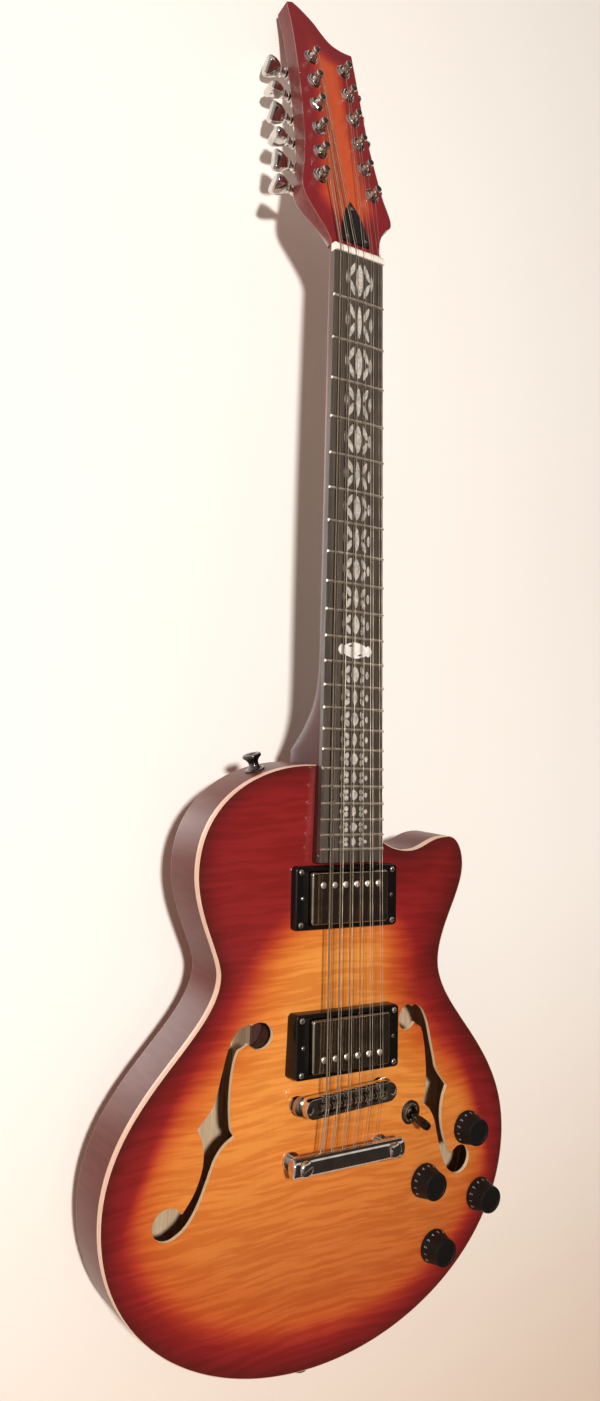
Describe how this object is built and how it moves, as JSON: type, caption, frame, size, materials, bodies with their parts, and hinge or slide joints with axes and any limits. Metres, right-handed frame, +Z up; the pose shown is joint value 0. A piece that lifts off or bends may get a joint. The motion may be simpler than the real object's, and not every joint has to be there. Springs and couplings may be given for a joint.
{
  "type": "electric guitar",
  "caption": "Semi-hollow single-cutaway electric guitar with paired strings, arched sunburst top, sound holes, humbucking pickups and a tilted headstock.",
  "frame": {"origin": "middle of the fretboard's top face at the nut, where a neck hanger holds the guitar under the headstock", "axes": "+X to the treble side, +Y from the strings to the back, +Z up from the tail to the headstock; the body's rim plane is upright"},
  "size_m": [0.3617, 0.1445, 1.0773],
  "materials": {
    "body_lacquer": "brown-cherry gloss lacquer on maple sides and back",
    "neck_lacquer": "dark cherry gloss lacquer on mahogany",
    "sunburst_lacquer": "cherry to amber sunburst gloss lacquer on figured maple",
    "cream_binding": "aged cream plastic",
    "fretboard_wood": "oiled dark hardwood with steel frets",
    "nut_bone": "polished bone",
    "black_plastic": "black moulded plastic",
    "nickel": "satin nickel plate",
    "chrome": "bright chrome plate",
    "dark_chrome": "black chrome plate",
    "string_steel": "drawn steel wire, nickel wound on the low strings"
  },
  "bodies": {
    "guitar": {"body_back": "body_lacquer", "top_plate": "sunburst_lacquer", "top_binding": "cream_binding", "neck": "neck_lacquer", "fretboard": "fretboard_wood", "nut": "nut_bone", "truss_rod_cover": "black_plastic", "neck_pickup_ring": "black_plastic", "bridge_pickup_ring": "black_plastic", "neck_pickup": "nickel", "bridge_pickup": "nickel", "bridge": "chrome", "tailpiece": "chrome", "toggle_switch": "nickel", "output_jack": "nickel", "upper_strap_button": "dark_chrome", "lower_strap_button": "dark_chrome", "tuner_strip_bass": "chrome", "tuner_strip_treble": "chrome", "string_01": "string_steel", "string_02": "string_steel", "string_03": "string_steel", "string_04": "string_steel", "string_05": "string_steel", "string_06": "string_steel", "string_07": "string_steel", "string_08": "string_steel", "string_09": "string_steel", "string_10": "string_steel", "string_11": "string_steel", "string_12": "string_steel"},
    "tuner_key_bass_1": {"tuner_key_bass_1": "chrome"},
    "tuner_post_bass_1": {"tuner_post_bass_1": "chrome"},
    "tuner_key_bass_2": {"tuner_key_bass_2": "chrome"},
    "tuner_post_bass_2": {"tuner_post_bass_2": "chrome"},
    "tuner_key_bass_3": {"tuner_key_bass_3": "chrome"},
    "tuner_post_bass_3": {"tuner_post_bass_3": "chrome"},
    "tuner_key_bass_4": {"tuner_key_bass_4": "chrome"},
    "tuner_post_bass_4": {"tuner_post_bass_4": "chrome"},
    "tuner_key_bass_5": {"tuner_key_bass_5": "chrome"},
    "tuner_post_bass_5": {"tuner_post_bass_5": "chrome"},
    "tuner_key_bass_6": {"tuner_key_bass_6": "chrome"},
    "tuner_post_bass_6": {"tuner_post_bass_6": "chrome"},
    "tuner_key_treble_1": {"tuner_key_treble_1": "chrome"},
    "tuner_post_treble_1": {"tuner_post_treble_1": "chrome"},
    "tuner_key_treble_2": {"tuner_key_treble_2": "chrome"},
    "tuner_post_treble_2": {"tuner_post_treble_2": "chrome"},
    "tuner_key_treble_3": {"tuner_key_treble_3": "chrome"},
    "tuner_post_treble_3": {"tuner_post_treble_3": "chrome"},
    "tuner_key_treble_4": {"tuner_key_treble_4": "chrome"},
    "tuner_post_treble_4": {"tuner_post_treble_4": "chrome"},
    "tuner_key_treble_5": {"tuner_key_treble_5": "chrome"},
    "tuner_post_treble_5": {"tuner_post_treble_5": "chrome"},
    "tuner_key_treble_6": {"tuner_key_treble_6": "chrome"},
    "tuner_post_treble_6": {"tuner_post_treble_6": "chrome"},
    "neck_volume_knob": {"neck_volume_knob": "black_plastic"},
    "bridge_volume_knob": {"bridge_volume_knob": "black_plastic"},
    "neck_tone_knob": {"neck_tone_knob": "black_plastic"},
    "bridge_tone_knob": {"bridge_tone_knob": "black_plastic"},
    "toggle_lever": {"toggle_lever": "black_plastic"}
  },
  "joints": [
    {"name": "tuner_key_bass_1_turn", "type": "hinge", "parent": "guitar", "child": "tuner_key_bass_1", "pos_m": [-0.0251, 0.04493, 0.05766], "axis": [1, 0, 0], "continuous": true},
    {"name": "tuner_post_bass_1_turn", "type": "hinge", "parent": "guitar", "child": "tuner_post_bass_1", "pos_m": [-0.0251, 0.02401, 0.06446], "axis": [0, -0.9511, 0.309], "continuous": true},
    {"name": "tuner_key_bass_2_turn", "type": "hinge", "parent": "guitar", "child": "tuner_key_bass_2", "pos_m": [-0.0215, 0.05241, 0.08068], "axis": [1, 0, 0], "continuous": true},
    {"name": "tuner_post_bass_2_turn", "type": "hinge", "parent": "guitar", "child": "tuner_post_bass_2", "pos_m": [-0.0215, 0.03148, 0.08748], "axis": [0, -0.9511, 0.309], "continuous": true},
    {"name": "tuner_key_bass_3_turn", "type": "hinge", "parent": "guitar", "child": "tuner_key_bass_3", "pos_m": [-0.0192, 0.05989, 0.10369], "axis": [1, 0, 0], "continuous": true},
    {"name": "tuner_post_bass_3_turn", "type": "hinge", "parent": "guitar", "child": "tuner_post_bass_3", "pos_m": [-0.0192, 0.03896, 0.11049], "axis": [0, -0.9511, 0.309], "continuous": true},
    {"name": "tuner_key_bass_4_turn", "type": "hinge", "parent": "guitar", "child": "tuner_key_bass_4", "pos_m": [-0.0179, 0.06736, 0.12671], "axis": [1, 0, 0], "continuous": true},
    {"name": "tuner_post_bass_4_turn", "type": "hinge", "parent": "guitar", "child": "tuner_post_bass_4", "pos_m": [-0.0179, 0.04644, 0.13351], "axis": [0, -0.9511, 0.309], "continuous": true},
    {"name": "tuner_key_bass_5_turn", "type": "hinge", "parent": "guitar", "child": "tuner_key_bass_5", "pos_m": [-0.0166, 0.07484, 0.14973], "axis": [1, 0, 0], "continuous": true},
    {"name": "tuner_post_bass_5_turn", "type": "hinge", "parent": "guitar", "child": "tuner_post_bass_5", "pos_m": [-0.0166, 0.05392, 0.15652], "axis": [0, -0.9511, 0.309], "continuous": true},
    {"name": "tuner_key_bass_6_turn", "type": "hinge", "parent": "guitar", "child": "tuner_key_bass_6", "pos_m": [-0.016, 0.08232, 0.17274], "axis": [1, 0, 0], "continuous": true},
    {"name": "tuner_post_bass_6_turn", "type": "hinge", "parent": "guitar", "child": "tuner_post_bass_6", "pos_m": [-0.016, 0.0614, 0.17954], "axis": [0, -0.9511, 0.309], "continuous": true},
    {"name": "tuner_key_treble_1_turn", "type": "hinge", "parent": "guitar", "child": "tuner_key_treble_1", "pos_m": [0.0251, 0.04493, 0.05766], "axis": [1, 0, 0], "continuous": true},
    {"name": "tuner_post_treble_1_turn", "type": "hinge", "parent": "guitar", "child": "tuner_post_treble_1", "pos_m": [0.0251, 0.02401, 0.06446], "axis": [0, -0.9511, 0.309], "continuous": true},
    {"name": "tuner_key_treble_2_turn", "type": "hinge", "parent": "guitar", "child": "tuner_key_treble_2", "pos_m": [0.0215, 0.05241, 0.08068], "axis": [1, 0, 0], "continuous": true},
    {"name": "tuner_post_treble_2_turn", "type": "hinge", "parent": "guitar", "child": "tuner_post_treble_2", "pos_m": [0.0215, 0.03148, 0.08748], "axis": [0, -0.9511, 0.309], "continuous": true},
    {"name": "tuner_key_treble_3_turn", "type": "hinge", "parent": "guitar", "child": "tuner_key_treble_3", "pos_m": [0.0192, 0.05989, 0.10369], "axis": [1, 0, 0], "continuous": true},
    {"name": "tuner_post_treble_3_turn", "type": "hinge", "parent": "guitar", "child": "tuner_post_treble_3", "pos_m": [0.0192, 0.03896, 0.11049], "axis": [0, -0.9511, 0.309], "continuous": true},
    {"name": "tuner_key_treble_4_turn", "type": "hinge", "parent": "guitar", "child": "tuner_key_treble_4", "pos_m": [0.0179, 0.06736, 0.12671], "axis": [1, 0, 0], "continuous": true},
    {"name": "tuner_post_treble_4_turn", "type": "hinge", "parent": "guitar", "child": "tuner_post_treble_4", "pos_m": [0.0179, 0.04644, 0.13351], "axis": [0, -0.9511, 0.309], "continuous": true},
    {"name": "tuner_key_treble_5_turn", "type": "hinge", "parent": "guitar", "child": "tuner_key_treble_5", "pos_m": [0.0166, 0.07484, 0.14973], "axis": [1, 0, 0], "continuous": true},
    {"name": "tuner_post_treble_5_turn", "type": "hinge", "parent": "guitar", "child": "tuner_post_treble_5", "pos_m": [0.0166, 0.05392, 0.15652], "axis": [0, -0.9511, 0.309], "continuous": true},
    {"name": "tuner_key_treble_6_turn", "type": "hinge", "parent": "guitar", "child": "tuner_key_treble_6", "pos_m": [0.016, 0.08232, 0.17274], "axis": [1, 0, 0], "continuous": true},
    {"name": "tuner_post_treble_6_turn", "type": "hinge", "parent": "guitar", "child": "tuner_post_treble_6", "pos_m": [0.016, 0.0614, 0.17954], "axis": [0, -0.9511, 0.309], "continuous": true},
    {"name": "neck_volume_knob_turn", "type": "hinge", "parent": "guitar", "child": "neck_volume_knob", "pos_m": [0.1354, -0.0229, -0.6785], "axis": [0, -1, 0], "range_deg": [-150, 150]},
    {"name": "bridge_volume_knob_turn", "type": "hinge", "parent": "guitar", "child": "bridge_volume_knob", "pos_m": [0.0905, -0.0229, -0.7118], "axis": [0, -1, 0], "range_deg": [-150, 150]},
    {"name": "neck_tone_knob_turn", "type": "hinge", "parent": "guitar", "child": "neck_tone_knob", "pos_m": [0.1546, -0.0229, -0.7362], "axis": [0, -1, 0], "range_deg": [-150, 150]},
    {"name": "bridge_tone_knob_turn", "type": "hinge", "parent": "guitar", "child": "bridge_tone_knob", "pos_m": [0.108, -0.0229, -0.7683], "axis": [0, -1, 0], "range_deg": [-150, 150]},
    {"name": "toggle_lever_tilt", "type": "hinge", "parent": "guitar", "child": "toggle_lever", "pos_m": [0.0713, -0.02422, -0.6556], "axis": [1, 0, 0], "range_deg": [-20, 0]}
  ],
  "couplings": [
    {"joint": "tuner_post_bass_1_turn", "follows": "tuner_key_bass_1_turn", "ratio": 0.066667},
    {"joint": "tuner_post_bass_2_turn", "follows": "tuner_key_bass_2_turn", "ratio": 0.066667},
    {"joint": "tuner_post_bass_3_turn", "follows": "tuner_key_bass_3_turn", "ratio": 0.066667},
    {"joint": "tuner_post_bass_4_turn", "follows": "tuner_key_bass_4_turn", "ratio": 0.066667},
    {"joint": "tuner_post_bass_5_turn", "follows": "tuner_key_bass_5_turn", "ratio": 0.066667},
    {"joint": "tuner_post_bass_6_turn", "follows": "tuner_key_bass_6_turn", "ratio": 0.066667},
    {"joint": "tuner_post_treble_1_turn", "follows": "tuner_key_treble_1_turn", "ratio": -0.066667},
    {"joint": "tuner_post_treble_2_turn", "follows": "tuner_key_treble_2_turn", "ratio": -0.066667},
    {"joint": "tuner_post_treble_3_turn", "follows": "tuner_key_treble_3_turn", "ratio": -0.066667},
    {"joint": "tuner_post_treble_4_turn", "follows": "tuner_key_treble_4_turn", "ratio": -0.066667},
    {"joint": "tuner_post_treble_5_turn", "follows": "tuner_key_treble_5_turn", "ratio": -0.066667},
    {"joint": "tuner_post_treble_6_turn", "follows": "tuner_key_treble_6_turn", "ratio": -0.066667}
  ]
}
